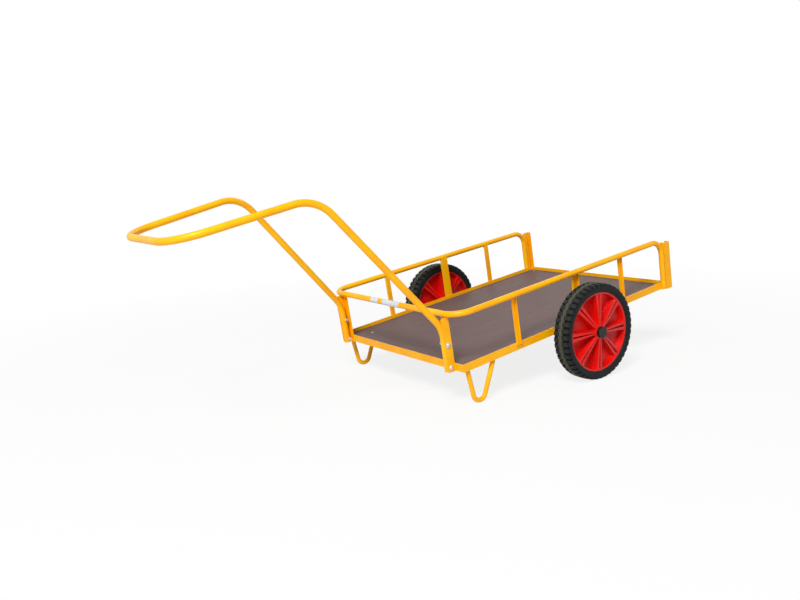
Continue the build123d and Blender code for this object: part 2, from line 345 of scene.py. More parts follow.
# %% [markdown]
# ## Rubber
# Tyre rubber is nearly black but scatters a soft grey, and the band that rolls on the road
# picks up a pale dust. The floors of the tread's slots and grooves carry painted shade, a near
# black: the tyre marks them with an attribute of its own faces.


# %% Rubber
def marked(place, name):
    settings = {"attribute_type": "GEOMETRY", "attribute_name": name}
    return place.node("ShaderNodeAttribute", settings, output=2)


def rubber():
    finish, shader, place = new_finish("tyre_rubber_black")
    across = place.node("ShaderNodeSeparateXYZ", None, output=1, Vector=place)
    blocks = between(abs(abs(across) - WHEEL_MIDDLE), 0.0350, 0.0290)
    dust = between(noise(place, 55.0, 5.0, 0.65), 0.42, 0.75)
    grain = noise(place, 900.0, 3.0)
    colour = blend_colours(dust, card(19, 21, 22), card(33, 36, 36))
    colour = blend_colours(blocks * 0.3, colour, card(58, 61, 52))
    colour = blend_colours(marked(place, "road_band") * 0.7, colour, card(88, 91, 77))
    # painted shade: the floors of the sunk slots and grooves are coloured near black
    plug(shader, "Base Color", blend_colours(marked(place, "sunk_floor_painted_shade"), colour, card(4, 5, 5)))
    plug(shader, "Roughness", 0.55 + dust * 0.15 + blocks * 0.1)
    plug(shader, "Normal", bumped(grain, 0.3, 0.0002))
    shader.inputs["Specular IOR Level"].default_value = 0.15
    return finish


tyre_rubber = rubber()
print("rubber nodes", len(tyre_rubber.node_tree.nodes))

# %% [markdown]
# ## Moulded plastics
# The rims are polypropylene moulded in a strong red, slightly glossy with a faint flow
# pattern and the fine pebble of the mould. The cap uses the same recipe in black, and the
# bush in the off-white of nylon, so one function makes all three.


# %% Red, black and off-white plastic
def moulding(name, deep, light, gloss):
    finish, shader, place = new_finish(name)
    flow = between(noise(place, 14.0, 4.0, 0.55), 0.3, 0.7)
    pebble = noise(place, 1300.0, 2.0)
    plug(shader, "Base Color", blend_colours(flow, deep, light))
    plug(shader, "Roughness", gloss + flow * 0.08 + pebble * 0.05)
    plug(shader, "Normal", bumped(pebble, 0.15, 0.0001))
    shader.inputs["Specular IOR Level"].default_value = 0.35
    return finish


rim_red = moulding("moulded_red", card(198, 7, 2), card(216, 14, 6), 0.26)
cap_black = moulding("moulded_black_cap", card(9, 9, 11), card(16, 17, 19), 0.4)
bush_nylon = moulding("off_white_nylon", card(212, 208, 196), card(228, 225, 214), 0.42)
print("plastics", rim_red.name, cap_black.name, bush_nylon.name)

# %% [markdown]
# ## Zinc plating
# Bolts, nuts and the spindles are steel with bright zinc on it. Zinc shows as a mottled
# silver with darker cells, which a Voronoi pattern gives, under a haze of noise.


# %% Zinc
def zinc():
    finish, shader, place = new_finish("zinc_plated_steel")
    cells = place.node("ShaderNodeTexVoronoi", {"feature": "F1"}, Vector=place, Scale=260.0)
    haze = between(noise(place, 90.0, 4.0), 0.35, 0.7)
    colour = blend_colours(haze, card(200, 202, 200), card(232, 232, 226))
    plug(shader, "Base Color", blend_colours(cells * 0.25, colour, card(150, 152, 156)))
    plug(shader, "Roughness", 0.28 + haze * 0.2)
    plug(shader, "Normal", bumped(cells, 0.12, 0.0001))
    shader.inputs["Metallic"].default_value = 0.75
    return finish


zinc_steel = zinc()
print("zinc nodes", len(zinc_steel.node_tree.nodes))

# %% [markdown]
# ## Label film
# The two small labels on the front rail are plain white film, left blank. Noise soils them
# a little here and there, and a much finer one gives the grain of paper.


# %% Label film
def label_film():
    finish, shader, place = new_finish("blank_label_film")
    soil = between(noise(place, 120.0, 4.0, 0.6), 0.5, 0.8)
    fibre = noise(place, 1500.0, 2.0)
    plug(shader, "Base Color", blend_colours(soil, card(208, 212, 217), card(186, 192, 199)))
    plug(shader, "Roughness", 0.38 + soil * 0.2)
    plug(shader, "Normal", bumped(fibre, 0.1, 0.00005))
    return finish


white_label = label_film()
print("label nodes", len(white_label.node_tree.nodes))

# %% [markdown]
# ## Dressing the solids that already look right
# Tubes, angles, the board and the axle keep their solid shape, so they only change their
# finish: each slot of the record is looked up, and the node's own material slots get it.

# %% Finishes onto the nodes
FINISHES = {
    "yellow_paint": yellow_paint,
    "deck_board": deck_film,
    "tyre_rubber": tyre_rubber,
    "rim_plastic": rim_red,
    "bush_plastic": bush_nylon,
    "cap_plastic": cap_black,
    "zinc_steel": zinc_steel,
}
NODE_FINISH = [
    ("deck_panel", "deck_board"),
    ("tyre", "tyre_rubber"),
    ("rim", "rim_plastic"),
    ("bush", "bush_plastic"),
    ("cap", "cap_plastic"),
    ("spindle", "zinc_steel"),
    ("washer", "zinc_steel"),
    ("nut", "zinc_steel"),
]


def finish_for(node):
    for start_of_name, slot in NODE_FINISH:
        if node.startswith(start_of_name):
            return slot
    return "yellow_paint"


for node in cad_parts:
    solid = bpy.data.objects[node]
    finish = FINISHES[finish_for(node)]
    if not solid.material_slots:
        solid.data.materials.append(finish)
    for material_slot in solid.material_slots:
        material_slot.material = finish
print("dressed", len(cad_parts), "nodes")

# %% [markdown]
# ## Tyres: one pitch of tread, repeated and rolled up
# The tyre is solid rubber with square blocks along both shoulders and a zigzag band round
# the middle. Modelling 46 pitches by hand would be endless, so one pitch is made flat, as if
# the tyre were unrolled: X runs round the tyre, Y is depth below the tread and Z is across.
# The strip is then repeated with an Array and closed into a ring by a Simple Deform bend.

# %% Sizes of the tyre
TREAD_PITCHES = 46
SLOT_SHARE = 0.40
SLOT_DEPTH = 0.0045
GROOVE_DEPTH = 0.0028
ZIGZAG = 0.0026
SEAT_HALF, SEAT_DEPTH = 0.0267, 0.0407
BAND_HALF = 0.0100
MIDDLE_ROW = 0.0042
SLOTS_FROM, SLOTS_DOWN_TO = 0.0140, 0.0110
pitch_length = 2 * pi * WHEEL_RADIUS / TREAD_PITCHES
print("one pitch", round(pitch_length * 1000, 1), "mm")

# %% [markdown]
# The strip starts as a single row of edges at one bead, six to a pitch. It is pushed out
# along the tyre's section, point by point: out from the seat over the lip, up the swelling
# sidewall, round the shoulder, across the crown and down to the other bead.


# %% The unrolled section
def section_points():
    side = [
        (-SEAT_HALF, SEAT_DEPTH),
        (-0.0312, 0.0352),
        (-0.0344, 0.0322),
        (-0.0370, 0.0286),
        (-0.0380, 0.0248),
        (-0.0376, 0.0236),
        (-0.0384, 0.0222),
        (-0.0385, 0.0170),
        (-0.0381, 0.0112),
        (-0.0364, 0.0064),
        (-0.0332, 0.0032),
        (-0.0285, 0.0015),
        (-0.0135, 0.0006),
        (-0.0096, 0.0004),
        (-0.0072, 0.0003),
        (-0.0010, 0.0000),
    ]
    return side + [(-across, depth) for across, depth in reversed(side)]


def column_places():
    slot = pitch_length * SLOT_SHARE / 2
    quarter = pitch_length / 4
    return [-2 * quarter, -quarter - slot, -quarter + slot, 0, quarter - slot, quarter + slot,
            2 * quarter]


def tread_strip():
    places = column_places()
    strip = start("grid", x_subdivisions=6, y_subdivisions=1, size=pitch_length)
    points = section_points()
    pick(strip, lambda place, part: place.y > 0.001, "VERT")
    bpy.ops.mesh.delete(type="VERT")
    leave_edit()
    for number, place in enumerate(places):
        now = -pitch_length / 2 + number * pitch_length / 6
        pick(strip, lambda spot, part: abs(spot.x - now) < 1e-4 and abs(spot.z) < 1e-9, "VERT")
        move((place - now, 0, 1))
        leave_edit()
    pick(strip, lambda place, part: True, "VERT")
    move((0, pitch_length / 2 + points[0][1], points[0][0] - 1))
    for (across, depth), (next_across, next_depth) in zip(points, points[1:]):
        push_out((0, next_depth - depth, next_across - across))
    leave_edit()
    # one mark is for the dusty road band, the other for the sunk floors that get painted shade
    for name in ("sunk_floor_painted_shade", "road_band"):
        strip.data.attributes.new(name, "FLOAT", "FACE")
    return strip


strip = tread_strip()
print("section rows", len(strip.data.polygons) // 6)

# %% [markdown]
# Now the pattern. The zigzag comes first, by shifting points of the band to one side and the
# other. Then the slots between the shoulder blocks are sunk along the surface's own
# normals, half a pitch apart from one shoulder to the other, and three narrow grooves are
# sunk round the tyre: two beside the band and one in its middle. The band and the floors
# of what is sunk are marked, so that the rubber can be dusty on the one and carry painted
# shade, a near black, on the others.


# %% Zigzag band, slots and grooves
def mark_picked(strip, name, value):
    leave_edit()
    marks = strip.data.attributes[name].data
    for face in strip.data.polygons:
        if face.select:
            marks[face.index].value = value


def sink(strip, test, depth):
    pick(strip, test)
    bpy.ops.mesh.extrude_region_shrink_fatten(TRANSFORM_OT_shrink_fatten={"value": depth})
    # the sunk floors are marked for painted shade, a near black in the rubber
    mark_picked(strip, "sunk_floor_painted_shade", 1.0)


def open_ends(strip):
    edge = pitch_length / 2

    def seam_wall(place, part):
        return abs(abs(place.x) - edge) < 1e-5 and abs(part.normal.x) > 0.9

    pick(strip, seam_wall)
    bpy.ops.mesh.delete(type="FACE")
    leave_edit()


def cut_tread(strip):
    quarter = pitch_length / 4
    for way in (-1, 1):
        pick(strip, lambda place, part: abs(place.z) < BAND_HALF and place.y < 0.002 and
             way * place.x > quarter * 0.2 and abs(place.x) < quarter * 1.9, "VERT")
        move((0, 0, way * ZIGZAG))
        leave_edit()
    pick(strip, lambda place, part: place.y < 0.0002)
    mark_picked(strip, "road_band", 1.0)
    downwards = strip.data.polygons[len(strip.data.polygons) // 2].normal.y > 0
    inward = 1 if downwards else -1
    for way in (-1, 1):
        def slot_face(place, part):
            in_column = abs(place.x - way * quarter) < quarter * 0.3
            return in_column and place.z * way > SLOTS_FROM and place.y < SLOTS_DOWN_TO
        sink(strip, slot_face, inward * SLOT_DEPTH)
    sink(strip, lambda place, part: 0.0003 < place.y < 0.0004, inward * GROOVE_DEPTH)
    sink(strip, lambda place, part: abs(place.z) < MIDDLE_ROW and place.y < 0.00001,
         inward * GROOVE_DEPTH / 2)
    open_ends(strip)


cut_tread(strip)
print("one pitch has", len(strip.data.polygons), "faces")

# %% [markdown]
# With the strip repeated and merged, a bend of a full turn rolls it up. A narrow bevel then
# gives the blocks the small radius that a mould leaves, and that is what catches the light
# along every edge. The two beads are bridged last, which closes the seat.


# %% Roll the strip into a tyre
BLOCK_ROUNDING = 0.0007


def close_seat(ring):
    seat = WHEEL_RADIUS - SEAT_DEPTH
    pick(ring, lambda place, part: abs(Vector((place.x, place.z)).length - seat) < 0.0003 and
         abs(abs(place.y) - SEAT_HALF) < 1e-4, "EDGE")
    bpy.ops.mesh.bridge_edge_loops()
    bpy.ops.mesh.select_all(action="SELECT")
    bpy.ops.mesh.normals_make_consistent(inside=False)
    leave_edit()


def roll_up(strip):
    modify(strip, "ARRAY", count=TREAD_PITCHES, use_relative_offset=False,
           use_constant_offset=True, constant_offset_displace=(pitch_length, 0, 0),
           use_merge_vertices=True, merge_threshold=2e-5)
    pick(strip, lambda place, part: True, "VERT")
    move((-pitch_length * (TREAD_PITCHES - 1) / 2, 0, 0))
    leave_edit()
    modify(strip, "SIMPLE_DEFORM", deform_method="BEND", deform_axis="Z", angle=2 * pi)
    pick(strip, lambda place, part: True, "VERT")
    bpy.ops.mesh.remove_doubles(threshold=3e-5)
    bpy.ops.mesh.select_all(action="SELECT")
    move((0, -WHEEL_RADIUS, 0))
    leave_edit()
    settle(strip, Matrix.Rotation(pi / 2, 4, "X"))
    close_seat(strip)
    modify(strip, "BEVEL", width=BLOCK_ROUNDING, segments=2, limit_method="ANGLE",
           angle_limit=radians(42))
    smooth(strip, 30)
    reach = max(Vector((v.co.x, v.co.z)).length for v in strip.data.vertices)
    print("ring radius", round(reach * 1000, 2), "mm")


roll_up(strip)

# %% [markdown]
# Both wheels get the same tyre, each with its own copy of the mesh. A finished piece says
# which body it rides on and which finish it takes; the solid it stands in for is hidden.


# %% Two tyres from one
def copy_of(piece, name):
    twin = piece.copy()
    twin.data = piece.data.copy()
    twin.name = name
    bpy.context.collection.objects.link(twin)
    return twin


def finish_piece(piece, name, body, finish):
    piece.name = name
    piece.data.name = name
    piece.data.materials.clear()
    piece.data.materials.append(finish)
    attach(piece, body)
    print(name, "faces", len(piece.data.polygons), "rides on", body)


for side, sign in SIDES.items():
    tyre = copy_of(strip, f"tread_{side}")
    settle(tyre, Matrix.Translation((AXLE_X, sign * WHEEL_MIDDLE, WHEEL_RADIUS)))
    finish_piece(tyre, f"treaded_tyre_{side}", f"wheel_{side}", tyre_rubber)
    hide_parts(f"tyre_{side}")
bpy.data.objects.remove(strip)

# %% [markdown]
# ## Rims: softening a moulding
# The solid rim already has its hub, web and eight pairs of ribs. A moulding never has sharp
# corners though, so a copy of it is merged, its flat faces are made whole again and every
# corner gets a small radius. The mouth of the rim is flared too, by pulling the inner edge
# of its two flanges in and apart, which leaves a thin sloping lip.


# %% Rounded rims
MOUTH_RADIUS = 0.149
MOUTH_HALF = 0.031
MOUTH_SINK = 0.0024
MOUTH_WIDER = 1 + 0.0032 / MOUTH_RADIUS
RIM_ROUNDING = 0.0009


def weld_doubles(piece, distance=1e-5):
    pick(piece, lambda place, part: True, "VERT")
    bpy.ops.mesh.remove_doubles(threshold=distance)
    bpy.ops.mesh.select_all(action="SELECT")
    bpy.ops.mesh.normals_make_consistent(inside=False)
    leave_edit()


def flare(piece, middle):
    for way in (-1, 1):
        def on_mouth(place, part):
            from_axle = Vector((place.x - AXLE_X, place.z - WHEEL_RADIUS)).length
            face = middle + way * MOUTH_HALF
            return abs(from_axle - MOUTH_RADIUS) < 0.0003 and abs(place.y - face) < 0.0002
        pick(piece, on_mouth, "VERT")
        print("mouth points", piece.data.total_vert_sel)
        move((0, -way * MOUTH_SINK, 0))
        bpy.ops.transform.resize(value=(MOUTH_WIDER, 1, MOUTH_WIDER),
                                 center_override=(AXLE_X, middle, WHEEL_RADIUS))
        leave_edit()


def soften(node, middle):
    piece = copy_of(bpy.data.objects[node], f"soft_{node}")
    weld_doubles(piece, 2e-5)
    flare(piece, middle)
    pick(piece, lambda place, part: True)
    bpy.ops.mesh.dissolve_limited(angle_limit=radians(0.6))
    leave_edit()
    modify(piece, "BEVEL", width=RIM_ROUNDING, segments=2, limit_method="ANGLE",
           angle_limit=radians(28), use_clamp_overlap=True)
    return piece


print("rim corners rounded by", RIM_ROUNDING * 1000, "mm")

# %% [markdown]
# Each rib runs on over that lip until it meets the tyre. One such rib end is a small prism
# along X: a plane at the rib's last section is pushed out twice, and its height changes on
# the way from the rib to a thin toe. It is then copied to both faces of all sixteen ribs.


# %% Rib ends over the lip
RIB_PAIRS = 8
RIB_MIDDLE = 0.0104
RIB_WIDTH = 0.0127
RIB_ROUNDING = 0.0005
RIB_SECTIONS = [(0.1485, 0.0260, 0.0289), (0.1526, 0.0275, 0.0298), (0.1566, 0.0301, 0.0309)]


def rib_end():
    (reach, low, high), *further = RIB_SECTIONS
    end = start("plane", size=1, location=(reach, (low + high) / 2, 0), rotation=(0, pi / 2, 0))
    end.scale = (RIB_WIDTH, high - low, 1)
    settle(end)
    for next_reach, next_low, next_high in further:
        pick(end, lambda place, part: abs(place.x - reach) < 1e-6, "VERT")
        push_out((next_reach - reach, next_low - low, 0))
        leave_edit()
        halfway = next_low + (high - low) / 2
        pick(end, lambda place, part: abs(place.x - next_reach) < 1e-6 and
             place.y > halfway, "VERT")
        move((0, next_high - next_low - high + low, 0))
        leave_edit()
        reach, low, high = next_reach, next_low, next_high
    weld_doubles(end)
    modify(end, "BEVEL", width=RIB_ROUNDING, segments=2, limit_method="ANGLE",
           angle_limit=radians(40))
    print("faces of a rib end", len(end.data.polygons))
    return end


# %% [markdown]
# Eight pairs, two ribs in each and two faces make 32 rib ends a wheel. They are joined to
# the rim as closed shapes of their own, sunk a little into its ribs and its lip.


# %% Rims with their rib ends
def joined(pieces, name):
    clean_slate()
    for piece in pieces:
        piece.select_set(True)
    bpy.context.view_layer.objects.active = pieces[0]
    if len(pieces) > 1:
        bpy.ops.object.join()
    whole = bpy.context.view_layer.objects.active
    whole.name = name
    return whole


def with_rib_ends(rim, middle):
    model = rib_end()
    wheel = Matrix.Translation((AXLE_X, middle, WHEEL_RADIUS))
    ends = []
    for pair in range(RIB_PAIRS):
        turned = wheel @ Matrix.Rotation(2 * pi * pair / RIB_PAIRS, 4, "Y")
        for across in (-RIB_MIDDLE, RIB_MIDDLE):
            for face in (0, pi):
                end = copy_of(model, "rib_end")
                aside = Matrix.Translation((0, 0, across))
                settle(end, turned @ aside @ Matrix.Rotation(face, 4, "X"))
                ends.append(end)
    bpy.data.objects.remove(model)
    whole = joined([rim, *ends], "rim_with_ends")
    smooth(whole, 30)
    return whole


for side, sign in SIDES.items():
    rim = soften(f"rim_{side}", sign * WHEEL_MIDDLE)
    rim = with_rib_ends(rim, sign * WHEEL_MIDDLE)
    finish_piece(rim, f"moulded_rim_{side}", f"wheel_{side}", rim_red)
    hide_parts(f"rim_{side}")

# %% [markdown]
# ## Weld beads
# The frame is held together by short runs of weld, painted over with the rest. A bead is a
# row of overlapping ripples, so one flattened drop is made and repeated along each run.
# Runs are given in the platform's own axes, from one end to the other.


# %% One ripple and a run of it
BEAD = 0.0055
RIPPLE_STEP = 0.3 * BEAD


def ripple():
    drop = start("uv_sphere", segments=10, ring_count=6, radius=BEAD / 2)
    drop.scale = (0.85, 1.0, 0.5)
    settle(drop)
    return drop


def weld_run(first, last):
    first, last = Vector(first), Vector(last)
    length = (last - first).length
    count = max(3, round(length / RIPPLE_STEP))
    drop = ripple()
    modify(drop, "ARRAY", count=count, use_relative_offset=False, use_constant_offset=True,
           constant_offset_displace=(length / (count - 1), 0, 0))
    turn = (last - first).to_track_quat("X", "Z").to_matrix().to_4x4()
    settle(drop, DECK @ Matrix.Translation(first) @ turn)
    smooth(drop, 60)
    return drop


print("a bead is", BEAD * 1000, "mm wide")

# %% [markdown]
# The runs follow the real cart: both edges of every upright where it laps the frame, the
# rail's rear feet, the rear channels, the posts, the ends of the bearers and the axle beam.

# %% Where the runs are
UPRIGHTS = [(0.336, 0.020), (-0.004, 0.036), (-0.280, 0.020)]
RAIL_TOP = 0.221
RAIL_FRONT = BED_FRONT + 0.010
RAIL_REAR = BED_REAR + 0.026
POST_FACE = 0.3659
POST_LEG = 0.040
UPRIGHT_WELD, RAIL_WELD = (0.0225, 0.0295), (0.006, 0.026)
POST_WELD, CHANNEL_WELD = (0.006, 0.027), (0.005, 0.025)
CHANNEL_MIDDLE = RAIL_REAR - 0.0115 - 0.0165
BEARERS = (0.320, -0.300)


def upward(ahead, across, heights):
    low, high = heights
    return (ahead, across, low), (ahead, across, high)


def side_runs(sign):
    runs = []
    face = sign * HALF_WIDTH
    for ahead, width in UPRIGHTS:
        for edge in (-1, 1):
            place = ahead + edge * width / 2
            runs.append(upward(place, face, UPRIGHT_WELD))
            runs.append(((place, face + sign * 0.004, RAIL_TOP - 0.0105),
                         (place, face + sign * 0.0095, RAIL_TOP - 0.0116)))
    for place in (RAIL_REAR - 0.0085, RAIL_REAR + 0.0085):
        runs.append(upward(place, face + sign * 0.0015, RAIL_WELD))
    for low in (0.045, 0.105, 0.160):
        heights = (low, low + 0.018)
        runs.append(upward(CHANNEL_MIDDLE + 0.0160, face + sign * 0.0205, heights))
    for place in (CHANNEL_MIDDLE + 0.0165, BED_REAR):
        runs.append(upward(place, face, CHANNEL_WELD))
    return runs


def front_runs(sign):
    runs = [upward(BED_FRONT, sign * place, POST_WELD)
            for place in (POST_FACE - POST_LEG, POST_FACE)]
    ahead, height = BED_FRONT + 0.0015, RAIL_TOP - 0.0113
    runs.append(((ahead, sign * (POST_FACE - 0.036), height),
                 (ahead, sign * (POST_FACE - 0.006), height)))
    return runs


def under_runs(sign):
    runs = []
    for ahead in BEARERS:
        for edge in (-1, 1):
            place = ahead + edge * 0.020
            runs.append(((place, sign * (HALF_WIDTH - 0.029), 0.0),
                         (place, sign * (HALF_WIDTH - 0.030), -0.003)))
        end = sign * (HALF_WIDTH - 0.030)
        runs.append(((ahead - 0.018, end, 0.0), (ahead + 0.018, end, 0.0)))
    for edge in (-1, 1):
        place = edge * 0.015
        runs.append(((place, sign * (HALF_WIDTH - 0.028), 0.0),
                     (place, sign * (HALF_WIDTH - 0.002), 0.0)))
    return runs


weld_pieces = []
for sign in SIDES.values():
    for first, last in side_runs(sign) + front_runs(sign) + under_runs(sign):
        weld_pieces.append(weld_run(first, last))
print("weld runs", len(weld_pieces))

# %% [markdown]
# Round pieces need a ring of weld. The same ripple is spun round the leg where it meets the
# frame, and round each spindle where it enters the axle beam.


# %% Rings of weld
def weld_ring(radius, stretch=1.0):
    drop = ripple()
    settle(drop, Matrix.Rotation(pi / 2, 4, "Z"))
    count = max(8, round(2 * pi * radius / RIPPLE_STEP))
    drops = []
    for number in range(count):
        turn = 2 * pi * number / count
        one = copy_of(drop, f"drop_{number}")
        place = (radius * stretch * cos(turn), radius * sin(turn), 0)
        settle(one, Matrix.Translation(place) @ Matrix.Rotation(turn, 4, "Z"))
        drops.append(one)
    bpy.data.objects.remove(drop)
    return joined(drops, "weld_ring")


LEG_LINE = HALF_WIDTH - 0.016
LEG_DROP = 0.204
LEG_RING, SPINDLE_RING = 0.0098, 0.0112
LEG_TOPS = [(0.587, 0.024), (0.456, 0.107)]
for sign in SIDES.values():
    for ahead, spread in LEG_TOPS:
        lean = spread / LEG_DROP
        ring = weld_ring(LEG_RING, stretch=(1 + lean * lean) ** 0.5)
        settle(ring, DECK @ Matrix.Translation((ahead, sign * LEG_LINE, -0.0003)))
        smooth(ring, 60)
        weld_pieces.append(ring)
    ring = weld_ring(SPINDLE_RING)
    placement = Matrix.Translation((AXLE_X, sign * (HALF_WIDTH + 0.0004), WHEEL_RADIUS))
    settle(ring, placement @ Matrix.Rotation(pi / 2, 4, "X"))
    smooth(ring, 60)
    weld_pieces.append(ring)
welds = joined(weld_pieces, "weld_beads")
finish_piece(welds, "weld_beads", "cart", yellow_paint)

# %% [markdown]
# ## Bolts through the posts
# Two bolts on each side clamp the handle into its post. On the outside they show a domed
# head on a washer, on the inside a nut and a few turns of thread. The head is a squashed
# sphere cut in half by a bisect, the nut a six-sided cylinder with its corners bevelled,
# and the thread is a stack of rings: a screw's slope can't be seen at this size.


# %% Domed head, washer, nut and thread
def domed_head(radius, height):
    head = start("uv_sphere", segments=32, ring_count=16, radius=radius)
    head.scale = (1, 1, height / radius)
    settle(head)
    pick(head, lambda place, part: True)
    bpy.ops.mesh.bisect(plane_co=(0, 0, 0), plane_no=(0, 0, 1), clear_inner=True, use_fill=True)
    leave_edit()
    smooth(head, 40)
    return head


def flat_washer(radius, bore, thickness):
    ring = start("cylinder", vertices=40, radius=radius, depth=thickness)
    pick(ring, lambda place, part: abs(part.normal.z) > 0.9)
    bpy.ops.mesh.inset(thickness=radius - bore)
    bpy.ops.mesh.bridge_edge_loops()
    leave_edit()
    modify(ring, "BEVEL", width=thickness * 0.2, segments=2, limit_method="ANGLE",
           angle_limit=radians(40))
    smooth(ring, 30)
    return ring


def hex_nut(flats, height):
    nut = start("cylinder", vertices=6, radius=flats / 2 / cos(pi / 6), depth=height)
    pick(nut, lambda place, part: abs(part.normal.z) > 0.9)
    bpy.ops.mesh.inset(thickness=flats * 0.06)
    leave_edit()
    modify(nut, "BEVEL", width=height * 0.09, segments=2, limit_method="ANGLE",
           angle_limit=radians(25))
    smooth(nut, 30)
    return nut


def threaded_end(radius, length, pitch):
    core = 0.88
    turn = start("cylinder", vertices=24, radius=radius * core, depth=pitch / 2)
    pick(turn, lambda place, part: abs(part.normal.z) < 0.1)
    bpy.ops.mesh.extrude_region_move()
    bpy.ops.transform.resize(value=(1, 1, 0.4))
    bpy.ops.transform.resize(value=(1 / core, 1 / core, 1))
    leave_edit()
    modify(turn, "ARRAY", count=max(2, round(length / (pitch / 2))), use_relative_offset=False,
           use_constant_offset=True, constant_offset_displace=(0, 0, pitch / 2))
    smooth(turn, 30)
    return turn


print("hardware:", domed_head.__name__, flat_washer.__name__, hex_nut.__name__,
      threaded_end.__name__)

# %% [markdown]
# The four bolts differ only in their place, so one set is built along Z and copied. Its
# zero is the post's outer face: the head stands above it, the nut below the tube.

# %% Place the bolts
BOLT_AHEAD = BED_FRONT + 0.0188
BOLT_HEIGHTS = (0.105, 0.018)
TUBE_INNER = 0.3373
HEAD_RADIUS, HEAD_HEIGHT = 0.0088, 0.0052
WASHER_RADIUS, WASHER_BORE, WASHER_THICKNESS = 0.0105, 0.0045, 0.0012
NUT_FLATS, NUT_HEIGHT = 0.013, 0.0065
THREAD_RADIUS, THREAD_LENGTH, THREAD_PITCH = 0.004, 0.009, 0.00125
NUT_DROP, THREAD_DROP = 0.0040, 0.0158


def lifted(piece, height):
    settle(piece, Matrix.Translation((0, 0, height)))
    return piece


def bolt_set():
    inner_face = TUBE_INNER - POST_FACE
    head = lifted(domed_head(HEAD_RADIUS, HEAD_HEIGHT), WASHER_THICKNESS)
    washer = flat_washer(WASHER_RADIUS, WASHER_BORE, WASHER_THICKNESS)
    washer = lifted(washer, WASHER_THICKNESS / 2)
    nut = lifted(hex_nut(NUT_FLATS, NUT_HEIGHT), inner_face - NUT_DROP)
    thread = threaded_end(THREAD_RADIUS, THREAD_LENGTH, THREAD_PITCH)
    end = lifted(thread, inner_face - THREAD_DROP)
    return joined([head, washer, nut, end], "bolt_set")


bolt_model = bolt_set()
for side, sign in SIDES.items():
    for number, height in enumerate(BOLT_HEIGHTS, 1):
        bolt = copy_of(bolt_model, f"post_bolt_{side}_{number}")
        outward = Matrix.Rotation(-sign * pi / 2, 4, "X")
        settle(bolt, DECK @ Matrix.Translation((BOLT_AHEAD, sign * POST_FACE, height)) @ outward)
        finish_piece(bolt, f"post_bolt_{side}_{number}", "cart", zinc_steel)
bpy.data.objects.remove(bolt_model)

# %% [markdown]
# ## Board screws
# The board is held by countersunk screws, of which four show near its corners. Each is a
# shallow disc with a cross recess, a hair above the film so that it reads as metal set in.


# %% Countersunk screws
SCREW_RADIUS, SCREW_DEPTH = 0.0052, 0.0012
SCREW_RIM, SCREW_DISH = 0.0006, 0.0002
RECESS_LENGTH, RECESS_WIDTH = 0.0056, 0.0011


def board_screw():
    screw = start("cylinder", vertices=32, radius=SCREW_RADIUS, depth=SCREW_DEPTH)
    pick(screw, lambda place, part: part.normal.z > 0.9)
    bpy.ops.mesh.inset(thickness=SCREW_RIM)
    move((0, 0, -SCREW_DISH))
    leave_edit()
    cutters = []
    for turn in (0, pi / 2):
        bar = start("cube", size=1)
        bar.scale = (RECESS_LENGTH, RECESS_WIDTH, SCREW_DEPTH)
        bar.rotation_euler.z = turn
        bar.location.z = SCREW_DEPTH / 2
        settle(bar)
        cutters.append(bar)
    for bar in cutters:
        modify(screw, "BOOLEAN", operation="DIFFERENCE", object=bar, solver="EXACT")
        bpy.data.objects.remove(bar)
    smooth(screw, 30)
    return screw


BOARD_TOP = 0.015
SCREW_SPOTS = [(0.594, 0.376), (0.526, -0.317), (-0.552, 0.376), (-0.552, -0.376)]
screw_model = board_screw()
screws = []
for number, (ahead, across) in enumerate(SCREW_SPOTS):
    screw = copy_of(screw_model, f"screw_{number}")
    turn = Matrix.Rotation(number * 0.7, 4, "Z")
    settle(screw, DECK @ Matrix.Translation((ahead, across, BOARD_TOP + 0.0002)) @ turn)
    screws.append(screw)
bpy.data.objects.remove(screw_model)
board_screws = joined(screws, "board_screws")
finish_piece(board_screws, "board_screws", "cart", zinc_steel)

# %% [markdown]
# ## Blank labels on the front rail
# Two small white labels are wrapped round the front rail. Each is a strip of a cylinder just
# larger than the tube: the far side is cut away by a bisect, and Solidify gives it the
# thickness of film. The record's nearest finish is the off-white plastic of the bush; the
# labels take the white label film instead.


# %% Wrapped labels
LABEL_RADIUS = 0.01162
LABEL_FILM = 0.00012
LABEL_CUT = -0.002
LABEL_TURN = radians(-35)


def wrapped_label(name, middle, length):
    label = start("cylinder", vertices=48, radius=LABEL_RADIUS, depth=length,
                  end_fill_type="NOTHING")
    pick(label, lambda place, part: True)
    bpy.ops.mesh.bisect(plane_co=(LABEL_CUT, 0, 0), plane_no=(1, 0, 0), clear_inner=True)
    leave_edit()
    modify(label, "SOLIDIFY", thickness=LABEL_FILM, offset=1.0)
    smooth(label, 30)
    lean = Matrix.Rotation(LABEL_TURN, 4, "Y")
    along = Matrix.Rotation(pi / 2, 4, "X")
    settle(label, DECK @ Matrix.Translation((RAIL_FRONT, middle, RAIL_TOP)) @ lean @ along)
    finish_piece(label, name, "cart", white_label)


wrapped_label("blank_label_small", -0.0825, 0.048)
wrapped_label("blank_label_large", 0.031, 0.112)

# %% [markdown]
# ## Studio
# The photo is a catalogue picture on pure white. The white here is only for the eye: rays
# from the camera, and those that it sees by reflection or through glass, meet a white world
# and an almost white floor. All other rays meet a soft grey world and pale paper, so the
# white adds no light to the cart and the floor keeps a shadow.


# %% Rays that see the white
def looked_at(tree):
    rays = tree.nodes.new("ShaderNodeLightPath")
    eye = Wire(tree, rays.outputs["Is Camera Ray"])
    mirror = Wire(tree, rays.outputs["Is Glossy Ray"])
    glass = Wire(tree, rays.outputs["Is Transmission Ray"])
    return between(eye + mirror + glass, 0.0, 1.0)


def shining(tree, colour, strength, kind="ShaderNodeBackground"):
    light = tree.nodes.new(kind)
    light.inputs["Color"].default_value = colour
    light.inputs["Strength"].default_value = strength
    return light


